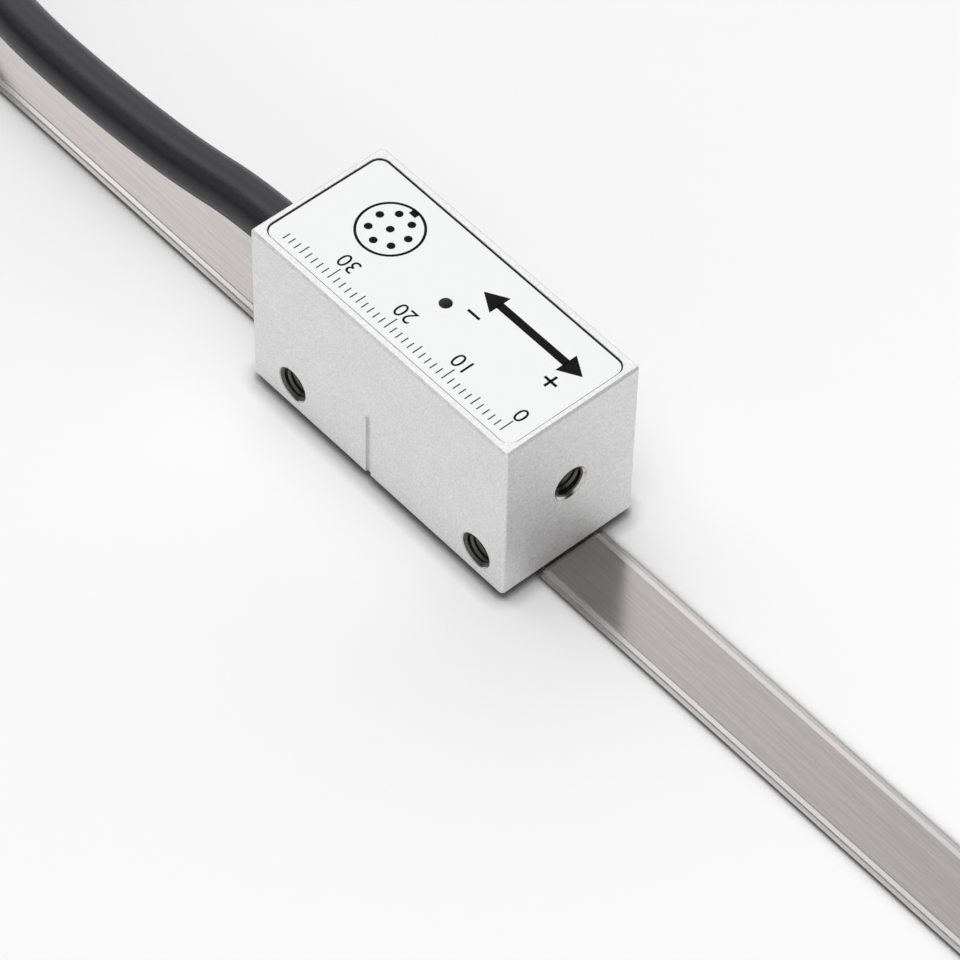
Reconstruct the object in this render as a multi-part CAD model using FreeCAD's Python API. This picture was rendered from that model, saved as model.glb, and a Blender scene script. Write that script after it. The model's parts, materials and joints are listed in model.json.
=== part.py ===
import FreeCAD, Part
import math
import os
from FreeCAD import Vector

# Linear encoder: a read head that slides along a laminated scale tape.
# Millimetres. +X runs along the tape towards the head's free end, +Z is up.
# The origin lies on the mounting surface, under the middle of the tape and of the head.

# Scale tape, from the glued side up
tape_length = 220.0
tape_offset = 0.5
adhesive_width = 9.4
adhesive_thickness = 0.1
carrier_width = 10.0
carrier_thickness = 0.2
measuring_width = 8.8
measuring_thickness = 0.2
cover_strip_width = 7.5
cover_strip_thickness = 0.1
strip_edge_round = 0.04

# Housing of the read head
head_length = 45.0
head_width = 20.4
head_height = 25.3
ride_gap = 0.5
corner_round = 0.5
top_chamfer = 0.3
bottom_chamfer = 0.2
roof_thickness = 3.0
side_wall = 2.0
rear_wall = 11.0
front_wall = 8.5
pocket_round = 1.5

# Threaded holes, two through the sides and one in the free end
thread_radius = 2.0
mouth_chamfer = 0.45
side_hole_height = 3.9
rear_hole_inset = 7.3
front_hole_inset = 4.7
end_hole_height = 12.4
end_hole_depth = 7.15

# Notch that marks where the sensor sits
sensor_x = -1.35
notch_width = 0.9
notch_height = 10.5
notch_depth = 0.4

# Nameplate in its recess
plate_inset_side = 1.05
plate_inset_end = 0.85
plate_corner = 1.6
plate_thickness = 0.12
plate_film_thickness = 0.08
plate_sink = 0.15
plate_fit = 0.03

# Status light
light_x = 0.8
light_y = -0.3
light_radius = 0.8
light_fit = 0.03
light_flange_radius = 1.5
light_flange_height = 0.8
light_gap = 0.2
led_size = 1.6
led_height = 0.8

# Cover under the electronics
bottom_cover_thickness = 0.8
cover_seal_thickness = 0.1
cover_ledge = 1.0
cover_fit = 0.05

# Boards, their bosses, spacers and screws
board_thickness = 1.0
board_clearance = 0.6
sensor_gap = 0.2
ferrule_gap = 0.6
sensor_chip_length = 8.0
sensor_chip_width = 5.0
sensor_chip_height = 0.8
spacer_radius = 1.5
boss_radius = 1.9
boss_inset = 1.8
screw_radius = 0.8
screw_clearance = 0.1
screw_fit = 0.02
screw_head_radius = 1.4
screw_head_height = 0.8
screw_recess_radius = 0.6
screw_recess_depth = 0.4
screw_bite = 4.0

# Parts on the main board
processor_size = 6.0
processor_height = 1.0
processor_inset = 3.6
driver_length = 4.9
driver_width = 3.9
driver_height = 1.4
capacitor_length = 1.6
capacitor_width = 0.8
capacitor_height = 0.8
capacitor_count = 6
chip_gap = 0.5
board_edge_gap = 0.3
plug_length = 3.0
plug_width = 8.0
plug_inset = 3.5
header_length = 3.0
header_width = 11.0
header_height = 5.0
wire_radius = 0.4
wire_ring = 1.8
wire_pitch = 1.25
wire_count = 8
wire_run = 4.0
wire_row_height = 3.8

# Cable and its entry into the housing
cable_diameter = 6.4
cable_fit = 0.02
bush_length = 6.0
bush_wall = 1.4
bush_fit = 0.03
entry_clearance = 0.3
ferrule_length = 2.0
ferrule_wall = 0.6

# Put-away cable: four layers of runs with a fold at each end
hank_run = 63.3
hank_fold = 19.2
hank_front = -144.5
hank_layers = 4
hank_ramp = 40.0
hank_crossing_gap = 0.1
tube_overlap = 0.5
arc_share = 0.45
tie_thickness = 0.8
tie_fit = 0.05
tie_width = 10.0
far_tie_inset = 30.0
near_tie_inset = 12.0

# Round cable connector at the far end
grip_radius = 7.25
grip_length = 18.0
grip_chamfer = 0.8
grip_flutes = 8
grip_flute_radius = 1.6
grip_flute_depth = 0.5
relief_length = 15.0
relief_small_radius = 4.2
relief_large_radius = 5.6
relief_grooves = 4
relief_groove_width = 1.2
relief_groove_depth = 0.7
spigot_radius = 4.4
spigot_length = 7.0
retainer_radius = 4.85
retainer_length = 1.0
insert_radius = 4.3
insert_length = 1.5
key_radius = 0.5
pin_radius = 0.4
pin_length = 6.0
pin_ring = 2.75
pin_count = 8
seal_wire_radius = 0.45
seal_seat_radius = 3.8
screw_axial_gap = 0.3
screw_radial_gap = 0.1
screw_collar_length = 2.0
screw_knob_radius = 7.0
screw_knob_length = 7.7
screw_knob_chamfer = 0.5
knurl_count = 24
screw_knurl_radius = 0.55
screw_sleeve_radius = 5.95
screw_sleeve_length = 8.0
screw_sleeve_chamfer = 0.5
screw_bore_radius = 5.2
connector_y = 17.8

# Lengths that differ by less than this count as equal
tolerance = 1e-6

# Places that follow from the sizes
tape_top = adhesive_thickness + carrier_thickness + measuring_thickness + cover_strip_thickness
head_bottom = tape_top + ride_gap
head_top = head_bottom + head_height
head_rear = -head_length / 2
head_front = head_length / 2
side_y = head_width / 2
end_axis_z = head_bottom + head_height / 2
side_hole_z = head_bottom + side_hole_height
end_hole_z = head_bottom + end_hole_height
rear_hole_x = head_rear + rear_hole_inset
front_hole_x = head_front - front_hole_inset
pocket_rear = head_rear + rear_wall
pocket_front = head_front - front_wall
pocket_y = side_y - side_wall
pocket_roof = head_top - roof_thickness
ledge_z = head_bottom + bottom_cover_thickness + cover_seal_thickness
recess_floor = head_top - plate_sink - plate_thickness - plate_film_thickness
plate_length = head_length - 2 * plate_inset_end
plate_width = head_width - 2 * plate_inset_side
plate_top = head_top - plate_sink
cover_top = head_bottom + bottom_cover_thickness
sensor_board_bottom = cover_top + sensor_gap + max(sensor_chip_height, screw_head_height)
sensor_board_top = sensor_board_bottom + board_thickness
cable_radius = cable_diameter / 2
bush_radius = cable_radius + cable_fit + bush_wall
ferrule_radius = cable_radius + cable_fit + ferrule_wall
main_board_top = end_axis_z - ferrule_radius - ferrule_gap
main_board_bottom = main_board_top - board_thickness
board_y = pocket_y - board_clearance
rear_boss_x = pocket_rear + boss_inset
front_boss_x = pocket_front - boss_inset
boss_places = [
    (x, y)
    for x in (rear_boss_x, front_boss_x)
    for y in (boss_inset - pocket_y, pocket_y - boss_inset)
]
cable_end_x = pocket_rear + ferrule_length
header_rear = cable_end_x + wire_run
header_front = header_rear + header_length
chips_rear = header_front + chip_gap
chips_front = front_boss_x - boss_radius - chip_gap
cable_lift = tie_thickness + tie_fit
low_run = cable_lift + cable_radius
hank_back = hank_front - hank_run
hank_top = cable_lift + hank_layers * cable_diameter
hank_back_top = hank_top - cable_diameter
high_run = hank_top - cable_radius

# Middle of the cable from the rear face to the hank, chosen by hand
lead_route = [
    Vector(head_rear, 0.0, end_axis_z),
    Vector(-34.0, 0.0, end_axis_z),
    Vector(-43.8, -1.7, 13.8),
    Vector(-53.1, -2.45, 13.75),
    Vector(-63.2, -2.75, 13.55),
    Vector(-74.5, -2.6, 13.25),
    Vector(-85.8, -1.0, 12.5),
    Vector(-97.0, 1.4, 10.4),
    Vector(-107.0, 4.7, 7.3),
    Vector(-115.5, 8.2, 4.85),
    Vector(-123.0, 11.5, low_run + 0.06),
    Vector(-130.0, 14.6, low_run),
    Vector(-137.0, 17.4, low_run),
    Vector(hank_front, hank_fold, low_run),
]

# Middle of the cable from the top of the hank down to the connector, chosen by hand
tail_route = [
    Vector(hank_back, hank_fold, high_run),
    Vector(-216.3, hank_fold, high_run + 0.3),
    Vector(-225.8, 19.1, high_run + 0.3),
    Vector(-237.8, 18.8, 20.9),
    Vector(-249.8, 18.4, 15.0),
    Vector(-261.8, 18.0, 9.2),
    Vector(-273.3, connector_y, grip_radius),
]
connector_x = tail_route[-1].x


# Shared shapes

def block(x0, x1, y0, y1, z0, z1):
    """A box between two corners."""
    return Part.makeBox(x1 - x0, y1 - y0, z1 - z0, Vector(x0, y0, z0))


def rod(radius, start, end):
    """A round bar between two points."""
    return Part.makeCylinder(radius, (end - start).Length, start, end - start)


def upright(radius, x, y, z0, z1):
    """A round bar that stands on z0."""
    return rod(radius, Vector(x, y, z0), Vector(x, y, z1))


def upright_edges(shape):
    """The straight edges of a shape that run along Z."""
    return [
        edge
        for edge in shape.Edges
        if edge.BoundBox.XLength < tolerance and edge.BoundBox.YLength < tolerance
    ]


def rounded_plate(x0, x1, y0, y1, z0, z1, corner):
    """A plate with rounded upright corners."""
    plate = block(x0, x1, y0, y1, z0, z1)
    return plate.makeFillet(corner, upright_edges(plate))


def turned(profile, start_x, y, z):
    """A body turned about a line along -X, from pairs of distance and radius."""
    points = [Vector(start_x - along, y, z + radius) for along, radius in profile]
    face = Part.Face(Part.makePolygon(points + points[:1]))
    return face.revolve(Vector(start_x, y, z), Vector(1, 0, 0), 360)


def joined(shapes):
    """Several overlapping shapes as one solid with clean faces."""
    return shapes[0].fuse(shapes[1:]).removeSplitter()


# Scale tape

def strip(width, bottom, thickness, edge_round):
    """One layer of the tape, with its two upper edges rounded."""
    half = tape_length / 2
    near = tape_offset - width / 2
    far = tape_offset + width / 2
    layer = block(-half, half, near, far, bottom, bottom + thickness)
    if edge_round == 0:
        return layer
    upper = [
        edge
        for edge in layer.Edges
        if edge.BoundBox.XLength > half and edge.BoundBox.ZMin > bottom + thickness / 2
    ]
    return layer.makeFillet(edge_round, upper)


def scale_tape():
    """The four layers, each seated on the one below."""
    layers = [
        ("tape_adhesive", adhesive_width, adhesive_thickness, 0),
        ("carrier_strip", carrier_width, carrier_thickness, strip_edge_round),
        ("measuring_tape", measuring_width, measuring_thickness, strip_edge_round),
        ("cover_strip", cover_strip_width, cover_strip_thickness, strip_edge_round),
    ]
    bottom = 0.0
    parts = {}
    for name, width, thickness, edge_round in layers:
        parts[name] = strip(width, bottom, thickness, edge_round)
        bottom = bottom + thickness
    return parts


# Read head

def threaded_hole(start, end, mouths):
    """A hole at the thread's outer radius, with a chamfer at each mouth given."""
    hole = rod(thread_radius, start, end)
    along = (end - start).normalize()
    for mouth, inward in mouths:
        cone = Part.makeCone(
            thread_radius + mouth_chamfer, thread_radius, mouth_chamfer, mouth, along * inward
        )
        hole = hole.fuse(cone)
    return hole


def side_hole(x):
    """A threaded hole through the head from side to side."""
    near = Vector(x, -side_y, side_hole_z)
    far = Vector(x, side_y, side_hole_z)
    return threaded_hole(near, far, [(near, 1), (far, -1)])


def end_hole():
    """The blind threaded hole in the middle of the free end."""
    mouth = Vector(head_front, 0, end_hole_z)
    bottom = Vector(head_front - end_hole_depth, 0, end_hole_z)
    return threaded_hole(mouth, bottom, [(mouth, 1)])


def sensor_notch():
    """The shallow upright slot in the near side, round at its upper end."""
    left = sensor_x - notch_width / 2
    right = sensor_x + notch_width / 2
    round_z = head_bottom + notch_height - notch_width / 2
    slot = block(left, right, -side_y, notch_depth - side_y, head_bottom, round_z)
    start = Vector(sensor_x, -side_y, round_z)
    end = Vector(sensor_x, notch_depth - side_y, round_z)
    return slot.fuse(rod(notch_width / 2, start, end))


def outer_block():
    """The machined block with its rounded and chamfered edges."""
    body = rounded_plate(
        head_rear, head_front, -side_y, side_y, head_bottom, head_top, corner_round
    )
    upper = [edge for edge in body.Edges if edge.BoundBox.ZMin > head_top - tolerance]
    body = body.makeChamfer(top_chamfer, upper)
    lower = [edge for edge in body.Edges if edge.BoundBox.ZMax < head_bottom + tolerance]
    return body.makeChamfer(bottom_chamfer, lower)


def pocket():
    """The room for the boards, less the four bosses that hang from the roof."""
    room = rounded_plate(
        pocket_rear, pocket_front, -pocket_y, pocket_y, head_bottom, pocket_roof, pocket_round
    )
    bosses = [upright(boss_radius, x, y, main_board_top, pocket_roof) for x, y in boss_places]
    return room.cut(bosses)


def housing():
    """The aluminium housing with its pocket, recesses, entry and holes."""
    recess = rounded_plate(
        -plate_length / 2,
        plate_length / 2,
        -plate_width / 2,
        plate_width / 2,
        recess_floor,
        head_top,
        plate_corner,
    )
    entry_start = Vector(head_rear, 0, end_axis_z)
    entry_end = Vector(pocket_rear, 0, end_axis_z)
    bush_end = Vector(head_rear + bush_length, 0, end_axis_z)
    screw_holes = [
        upright(screw_radius + screw_fit, x, y, main_board_top, main_board_top + screw_bite)
        for x, y in boss_places
    ]
    cuts = [
        pocket(),
        cover_outline(head_bottom, ledge_z, 0),
        recess,
        upright(light_radius + light_fit, light_x, light_y, pocket_roof, head_top),
        rod(cable_radius + entry_clearance, entry_start, entry_end),
        rod(bush_radius + bush_fit, entry_start, bush_end),
        side_hole(rear_hole_x),
        side_hole(front_hole_x),
        end_hole(),
        sensor_notch(),
    ]
    return outer_block().cut(cuts + screw_holes)


def nameplate_layer(bottom, thickness):
    """A sheet of the nameplate's outline with the hole for the light."""
    half_x = plate_length / 2 - plate_fit
    half_y = plate_width / 2 - plate_fit
    top = bottom + thickness
    sheet = rounded_plate(-half_x, half_x, -half_y, half_y, bottom, top, plate_corner - plate_fit)
    return sheet.cut(upright(light_radius + light_fit, light_x, light_y, bottom, top))


def light_pipe():
    """The rod from the status light to the nameplate, with a flange under the roof."""
    foot = main_board_top + led_height + light_gap
    flange_bottom = pocket_roof - light_flange_height
    return joined(
        [
            upright(light_radius, light_x, light_y, foot, plate_top),
            upright(light_flange_radius, light_x, light_y, flange_bottom, pocket_roof),
        ]
    )


def cover_outline(bottom, top, shrink):
    """A plate that fits the recess of the bottom cover, drawn in by shrink."""
    grow = cover_ledge - shrink
    return rounded_plate(
        pocket_rear - grow,
        pocket_front + grow,
        -pocket_y - grow,
        pocket_y + grow,
        bottom,
        top,
        pocket_round + grow,
    )


def cover_seal():
    """The bonded frame between the cover and the ledge of the housing."""
    frame = cover_outline(cover_top, ledge_z, cover_fit)
    room = rounded_plate(
        pocket_rear, pocket_front, -pocket_y, pocket_y, cover_top, ledge_z, pocket_round
    )
    return frame.cut(room)


def board(bottom):
    """A circuit board that fills the pocket, with a hole at each boss."""
    rear = pocket_rear + board_clearance
    front = pocket_front - board_clearance
    corner = pocket_round - board_clearance
    top = bottom + board_thickness
    sheet = rounded_plate(rear, front, -board_y, board_y, bottom, top, corner)
    hole_radius = screw_radius + screw_clearance
    return sheet.cut([upright(hole_radius, x, y, bottom, top) for x, y in boss_places])


def sensor_chip():
    """The sensing element under the lower board, beside the notch."""
    half_x = sensor_chip_length / 2
    half_y = sensor_chip_width / 2
    bottom = sensor_board_bottom - sensor_chip_height
    near = tape_offset - half_y
    far = tape_offset + half_y
    return block(sensor_x - half_x, sensor_x + half_x, near, far, bottom, sensor_board_bottom)


def board_spacers():
    """Sleeves that keep the two boards apart."""
    bore = screw_radius + screw_clearance
    sleeves = []
    for x, y in boss_places:
        sleeve = upright(spacer_radius, x, y, sensor_board_top, main_board_bottom)
        sleeves.append(sleeve.cut(upright(bore, x, y, sensor_board_top, main_board_bottom)))
    return Part.makeCompound(sleeves)


def board_screws():
    """Long screws from under the lower board up into the bosses."""
    head_z = sensor_board_bottom - screw_head_height
    screws = []
    for x, y in boss_places:
        shank = upright(screw_radius, x, y, head_z, main_board_top + screw_bite)
        head = upright(screw_head_radius, x, y, head_z, sensor_board_bottom)
        drive = upright(screw_recess_radius, x, y, head_z, head_z + screw_recess_depth)
        screws.append(joined([shank, head]).cut(drive))
    return Part.makeCompound(screws)


def processor_chip():
    """The square chip at the front of the main board."""
    half = processor_size / 2
    front = pocket_front - processor_inset
    top = main_board_top + processor_height
    return block(front - processor_size, front, -half, half, main_board_top, top)


def line_driver_chip():
    """The output driver beside the status light, next to the wires."""
    front = chips_rear + driver_length
    far = board_y - board_edge_gap
    top = main_board_top + driver_height
    return block(chips_rear, front, far - driver_width, far, main_board_top, top)


def capacitors():
    """A row of small parts along the near edge of the main board."""
    pitch = (chips_front - chips_rear - capacitor_width) / (capacitor_count - 1)
    near = board_edge_gap - board_y
    far = near + capacitor_length
    top = main_board_top + capacitor_height
    row = []
    for index in range(capacitor_count):
        rear = chips_rear + index * pitch
        row.append(block(rear, rear + capacitor_width, near, far, main_board_top, top))
    return Part.makeCompound(row)


def status_led():
    """The light on the main board, under the light pipe."""
    half = led_size / 2
    top = main_board_top + led_height
    return block(
        light_x - half, light_x + half, light_y - half, light_y + half, main_board_top, top
    )


def board_connector():
    """The plug connection between the two boards."""
    front = pocket_front - plug_inset
    half_y = plug_width / 2
    rear = front - plug_length
    return block(rear, front, -half_y, half_y, sensor_board_top, main_board_bottom)


def wire_header():
    """The block on the main board where the wires end."""
    half_y = header_width / 2
    top = main_board_top + header_height
    return block(header_rear, header_front, -half_y, half_y, main_board_top, top)


def cable_wires():
    """The cable's wires, from their ring in the cable to their row in the header."""
    row_z = main_board_top + wire_row_height
    step = 2 * math.pi / wire_count
    ring = [
        (wire_ring * math.cos(step * (k + 0.5)), wire_ring * math.sin(step * (k + 0.5)))
        for k in range(wire_count)
    ]
    ring.sort(key=lambda place: (round(place[0] / tolerance), place[1]))
    ends = [cable_end(), wire_header()]
    wires = []
    for index, (y, z) in enumerate(ring):
        start = Vector(cable_end_x, y, end_axis_z + z)
        row_y = (index - (wire_count - 1) / 2) * wire_pitch
        end = Vector(header_rear, row_y, row_z)
        reach = (end - start).normalize() * wire_radius
        wires.append(rod(wire_radius, start - reach, end + reach).cut(ends))
    return Part.makeCompound(wires)


def shield_ferrule():
    """The crimped ring that bears on the rear wall from inside."""
    start = Vector(pocket_rear, 0, end_axis_z)
    end = Vector(cable_end_x, 0, end_axis_z)
    return rod(ferrule_radius, start, end).cut(rod(ferrule_radius - ferrule_wall, start, end))


def cable_bush():
    """The rubber bush in the rear wall, level with the rear face."""
    start = Vector(head_rear, 0, end_axis_z)
    end = Vector(head_rear + bush_length, 0, end_axis_z)
    return rod(bush_radius, start, end).cut(rod(cable_radius + cable_fit, start, end))


def cable_end():
    """The cable inside the housing, up to where its wires come free."""
    start = Vector(head_rear, 0, end_axis_z)
    return rod(cable_radius, start, Vector(cable_end_x, 0, end_axis_z))


# Free cable

def cable_tube(name, route):
    """A tube along straight runs and the largest arcs that the runs allow.

    Its far end reaches a little past the route, to be cut level with its seat.
    """
    edges = []
    radii = []
    here = route[0]
    for before, corner, after in zip(route, route[1:], route[2:]):
        coming = corner - before
        going = after - corner
        reach = arc_share * min(coming.Length, going.Length)
        coming.normalize()
        going.normalize()
        half_turn = coming.getAngle(going) / 2
        radius = reach / math.tan(half_turn)
        start = corner - coming * reach
        end = corner + going * reach
        inward = (going - coming).normalize()
        middle = corner + inward * (radius / math.cos(half_turn) - radius)
        edges.append(Part.LineSegment(here, start).toShape())
        edges.append(Part.Arc(start, middle, end).toShape())
        radii.append(round(radius, 1))
        here = end
    last_run = (route[-1] - here).normalize()
    edges.append(Part.LineSegment(here, route[-1] + last_run * tube_overlap).toShape())
    path = Part.Wire(edges)
    circle = Part.Circle(route[0], route[1] - route[0], cable_radius).toShape()
    tube = path.makePipeShell([Part.Wire([circle])], True, True)
    ideal = math.pi * cable_radius**2 * path.Length
    print(name, "arc radii", radii, "length", round(path.Length, 2))
    print(name, "volume over section times length", round(tube.Volume / ideal, 5))
    return tube


def half_ring(x, forward, z0, z1):
    """The fold at one end of the hank, a half ring about an upright line."""
    outer = hank_fold + cable_radius
    ring = upright(outer, x, 0, z0, z1)
    ring = ring.cut(upright(hank_fold - cable_radius, x, 0, z0, z1))
    x0 = x if forward else x - outer
    return ring.common(block(x0, x0 + outer, -outer, outer, z0, z1))


def hank_ramp_body():
    """The part of the near run where each layer climbs on to the next."""
    start = hank_front - hank_ramp
    corners = [
        Vector(start, 0, cable_lift),
        Vector(hank_front, 0, cable_lift + cable_diameter),
        Vector(hank_front, 0, hank_top),
        Vector(start, 0, hank_back_top),
    ]
    face = Part.Face(Part.makePolygon(corners + corners[:1]))
    face.translate(Vector(0, -hank_fold - cable_radius, 0))
    return face.extrude(Vector(0, cable_diameter, 0))


def cable_hank():
    """The outer shape of the put-away cable, with room under its front fold."""
    near = -hank_fold - cable_radius
    far = hank_fold - cable_radius
    ramp_start = hank_front - hank_ramp
    fold_bottom = cable_lift + cable_diameter + hank_crossing_gap
    return joined(
        [
            block(hank_back, hank_front, far, far + cable_diameter, cable_lift, hank_top),
            half_ring(hank_back, False, cable_lift, hank_back_top),
            block(hank_back, ramp_start, near, near + cable_diameter, cable_lift, hank_back_top),
            hank_ramp_body(),
            half_ring(hank_front, True, fold_bottom, hank_top),
        ]
    )


def cable_tie(x, y, top):
    """A strap round one run of the hank, on the mounting surface."""
    inner = cable_radius + tie_fit
    outer = inner + tie_thickness
    x0 = x - tie_width / 2
    x1 = x + tie_width / 2
    band = block(x0, x1, y - outer, y + outer, 0, top + tie_fit + tie_thickness)
    return band.cut(block(x0, x1, y - inner, y + inner, tie_thickness, top + tie_fit))


def cable_ties():
    """A strap on the far run and one on the near run."""
    far = cable_tie(hank_back + far_tie_inset, hank_fold, hank_top)
    near = cable_tie(hank_back + near_tie_inset, -hank_fold, hank_back_top)
    return Part.makeCompound([far, near])


# Round connector, with distances counted from the back of its strain relief

grip_end = relief_length + grip_length
spigot_end = grip_end + spigot_length
collar_start = grip_end + screw_axial_gap
collar_end = collar_start + screw_collar_length
retainer_start = collar_end + screw_axial_gap
retainer_end = retainer_start + retainer_length
seal_middle = retainer_end + seal_wire_radius
insert_end = spigot_end + insert_length


def on_connector(along, angle, radius):
    """A point on the connector, from its distance along, angle and radius."""
    y = connector_y + radius * math.cos(angle)
    z = grip_radius + radius * math.sin(angle)
    return Vector(connector_x - along, y, z)


def round_cuts(count, radius, centre_radius, start, end):
    """Round bars along the connector, evenly spaced about its axis."""
    angles = [2 * math.pi * k / count for k in range(count)]
    return [
        rod(radius, on_connector(start, a, centre_radius), on_connector(end, a, centre_radius))
        for a in angles
    ]


def connector_body():
    """The moulded grip with its grooved strain relief and the metal spigot's form."""
    seat_end = seal_middle + seal_wire_radius
    profile = [
        (0, 0),
        (0, relief_small_radius),
        (relief_length - grip_chamfer, relief_large_radius),
        (relief_length, grip_radius - grip_chamfer),
        (relief_length + grip_chamfer, grip_radius),
        (grip_end - grip_chamfer, grip_radius),
        (grip_end, grip_radius - grip_chamfer),
        (grip_end, spigot_radius),
        (retainer_start, spigot_radius),
        (retainer_start, retainer_radius),
        (retainer_end, retainer_radius),
        (retainer_end, seal_seat_radius),
        (seat_end, seal_seat_radius),
        (seat_end, spigot_radius),
        (spigot_end, spigot_radius),
        (spigot_end, 0),
    ]
    body = turned(profile, connector_x, connector_y, grip_radius)
    pitch = (relief_length - grip_chamfer) / (relief_grooves + 1)
    grooves = []
    for index in range(relief_grooves):
        start = pitch * (index + 1) - relief_groove_width / 2
        slope = (relief_large_radius - relief_small_radius) / (relief_length - grip_chamfer)
        floor = relief_small_radius + slope * start - relief_groove_depth
        outer = [(start, floor), (start, grip_radius)]
        inner = [
            (start + relief_groove_width, grip_radius),
            (start + relief_groove_width, floor),
        ]
        grooves.append(turned(outer + inner, connector_x, connector_y, grip_radius))
    flute_place = grip_radius + grip_flute_radius - grip_flute_depth
    flute_start = relief_length + 2 * grip_chamfer
    flute_end = grip_end - 2 * grip_chamfer
    flutes = round_cuts(grip_flutes, grip_flute_radius, flute_place, flute_start, flute_end)
    return body.cut(grooves + flutes)


def connector_insert():
    """The pin carrier on the spigot, with its key slot."""
    start = on_connector(spigot_end, 0, 0)
    end = on_connector(insert_end, 0, 0)
    key_angle = math.pi / 2
    key = rod(
        key_radius,
        on_connector(spigot_end, key_angle, insert_radius),
        on_connector(insert_end, key_angle, insert_radius),
    )
    return rod(insert_radius, start, end).cut(key)


def connector_pins():
    """One contact in the middle and the others in a ring."""
    tip = insert_end + pin_length
    pins = round_cuts(pin_count - 1, pin_radius, pin_ring, insert_end, tip)
    pins.append(rod(pin_radius, on_connector(insert_end, 0, 0), on_connector(tip, 0, 0)))
    rounded = []
    for pin in pins:
        front = [edge for edge in pin.Edges if edge.BoundBox.XMax < connector_x - tip + tolerance]
        rounded.append(pin.makeChamfer(pin_radius / 2, front))
    return Part.makeCompound(rounded)


def connector_seal():
    """The O-ring in front of the retainer."""
    centre = on_connector(seal_middle, 0, 0)
    ring_radius = seal_seat_radius + seal_wire_radius
    return Part.makeTorus(ring_radius, seal_wire_radius, centre, Vector(1, 0, 0))


def coupling_screw():
    """The knurled screw that turns on the spigot, with its threaded sleeve."""
    knob_end = collar_start + screw_knob_length
    sleeve_end = knob_end + screw_sleeve_length
    collar_radius = spigot_radius + screw_radial_gap
    profile = [
        (collar_start, collar_radius),
        (collar_start, screw_knob_radius - screw_knob_chamfer),
        (collar_start + screw_knob_chamfer, screw_knob_radius),
        (knob_end - screw_knob_chamfer, screw_knob_radius),
        (knob_end, screw_knob_radius - screw_knob_chamfer),
        (knob_end, screw_sleeve_radius),
        (sleeve_end - screw_sleeve_chamfer, screw_sleeve_radius),
        (sleeve_end, screw_sleeve_radius - screw_sleeve_chamfer),
        (sleeve_end, screw_bore_radius),
        (collar_end, screw_bore_radius),
        (collar_end, collar_radius),
    ]
    body = turned(profile, connector_x, connector_y, grip_radius)
    knurl_start = collar_start + screw_knob_chamfer
    knurl_end = knob_end - screw_knob_chamfer
    cuts = round_cuts(
        knurl_count, screw_knurl_radius, screw_knob_radius, knurl_start, knurl_end
    )
    return body.cut(cuts)


def free_cable():
    """The cable's solids outside the housing, which meet face to face."""
    hank = cable_hank()
    lead = cable_tube("cable_lead", lead_route).cut(hank)
    tail = cable_tube("cable_tail", tail_route).cut([hank, connector_body()])
    return {
        "cable_lead": lead,
        "cable_hank": hank,
        "cable_tail": tail,
        "cable_ties": cable_ties(),
    }


def read_head():
    """The housing and everything in it."""
    film_bottom = recess_floor
    return {
        "housing": housing(),
        "nameplate_adhesive": nameplate_layer(film_bottom, plate_film_thickness),
        "nameplate": nameplate_layer(film_bottom + plate_film_thickness, plate_thickness),
        "light_pipe": light_pipe(),
        "bottom_cover": cover_outline(head_bottom, cover_top, cover_fit),
        "cover_seal": cover_seal(),
        "sensor_board": board(sensor_board_bottom),
        "sensor_chip": sensor_chip(),
        "main_board": board(main_board_bottom),
        "processor_chip": processor_chip(),
        "line_driver_chip": line_driver_chip(),
        "capacitors": capacitors(),
        "status_led": status_led(),
        "board_spacers": board_spacers(),
        "board_screws": board_screws(),
        "board_connector": board_connector(),
        "wire_header": wire_header(),
        "cable_wires": cable_wires(),
        "shield_ferrule": shield_ferrule(),
        "cable_bush": cable_bush(),
        "cable_end": cable_end(),
    }


def connector():
    """The pieces of the round connector."""
    return {
        "connector_body": connector_body(),
        "connector_insert": connector_insert(),
        "connector_pins": connector_pins(),
        "connector_seal": connector_seal(),
        "coupling_screw": coupling_screw(),
    }


def main():
    """Builds every piece and writes one file for each."""
    os.makedirs("parts", exist_ok=True)
    pieces = {**scale_tape(), **read_head(), **free_cable(), **connector()}
    for name, shape in pieces.items():
        print(name, len(shape.Solids), round(shape.Volume, 3), shape.isValid())
        shape.exportStep("parts/" + name + ".step")


main()
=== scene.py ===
"""Finishes a packed linear encoder: its cable, threads, print, surfaces and studio."""

import json
import math

import bmesh
import bpy
from bpy.props import FloatProperty, FloatVectorProperty, PointerProperty
from mathutils import Matrix, Quaternion, Vector


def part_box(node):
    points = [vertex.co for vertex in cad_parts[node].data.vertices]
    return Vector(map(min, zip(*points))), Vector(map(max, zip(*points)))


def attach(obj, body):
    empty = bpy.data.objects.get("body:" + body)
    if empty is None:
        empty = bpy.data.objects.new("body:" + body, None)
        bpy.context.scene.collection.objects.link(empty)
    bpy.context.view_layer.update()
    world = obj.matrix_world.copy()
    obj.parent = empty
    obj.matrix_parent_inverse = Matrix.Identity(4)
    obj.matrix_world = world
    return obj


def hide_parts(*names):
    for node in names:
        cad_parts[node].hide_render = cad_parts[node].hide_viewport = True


bl_info = {
    "name": "Linear encoder finish",
    "version": (1, 0, 0),
    "blender": (4, 5, 0),
    "location": "View3D > Sidebar > Encoder",
    "description": "Lays the cable, cuts the threads, prints the plate and lights the encoder",
    "category": "Object",
}

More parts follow.
